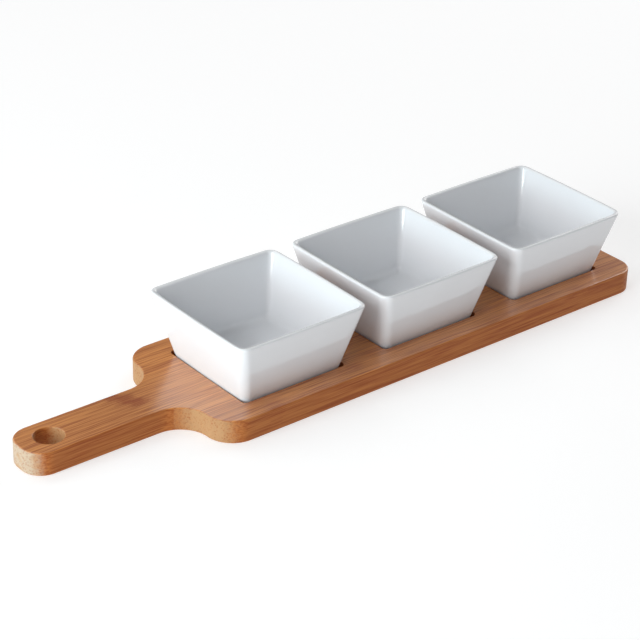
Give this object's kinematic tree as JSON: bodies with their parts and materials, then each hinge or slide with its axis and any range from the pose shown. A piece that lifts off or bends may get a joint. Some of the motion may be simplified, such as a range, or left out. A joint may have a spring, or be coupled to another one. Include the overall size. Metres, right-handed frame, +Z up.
{
  "type": "chip and dip server",
  "caption": "Bamboo paddle board with a hanging hole in its handle, carrying a row of square flared white ceramic dip bowls that lift out of shallow recesses.",
  "frame": {"origin": "centre of the board's underside, midway between the handle's tip and the far end", "axes": "+X from the handle towards the far end, +Y towards the back edge, +Z up out of the bowls"},
  "size_m": [0.422, 0.102, 0.0544],
  "materials": {
    "bamboo": "caramelised bamboo, satin oil finish, grain along X",
    "glaze": "white porcelain, glossy clear glaze"
  },
  "bodies": {
    "board": {"board_strip_01": "bamboo", "board_strip_02": "bamboo", "board_strip_03": "bamboo", "board_strip_04": "bamboo", "board_strip_05": "bamboo", "board_strip_06": "bamboo", "board_strip_07": "bamboo", "board_strip_08_tip": "bamboo", "board_strip_08": "bamboo", "board_strip_09": "bamboo", "board_strip_10": "bamboo", "board_strip_11": "bamboo", "board_strip_12": "bamboo", "board_strip_13": "bamboo", "board_strip_14": "bamboo", "board_strip_15": "bamboo"},
    "bowl_handle_end": {"bowl_handle_end": "glaze"},
    "bowl_middle": {"bowl_middle": "glaze"},
    "bowl_far_end": {"bowl_far_end": "glaze"}
  },
  "joints": [
    {"name": "bowl_handle_end_lift", "type": "slide", "parent": "board", "child": "bowl_handle_end", "axis": [0, 0, 1], "range_m": [0, 0.08]},
    {"name": "bowl_middle_lift", "type": "slide", "parent": "board", "child": "bowl_middle", "axis": [0, 0, 1], "range_m": [0, 0.08]},
    {"name": "bowl_far_end_lift", "type": "slide", "parent": "board", "child": "bowl_far_end", "axis": [0, 0, 1], "range_m": [0, 0.08]}
  ]
}
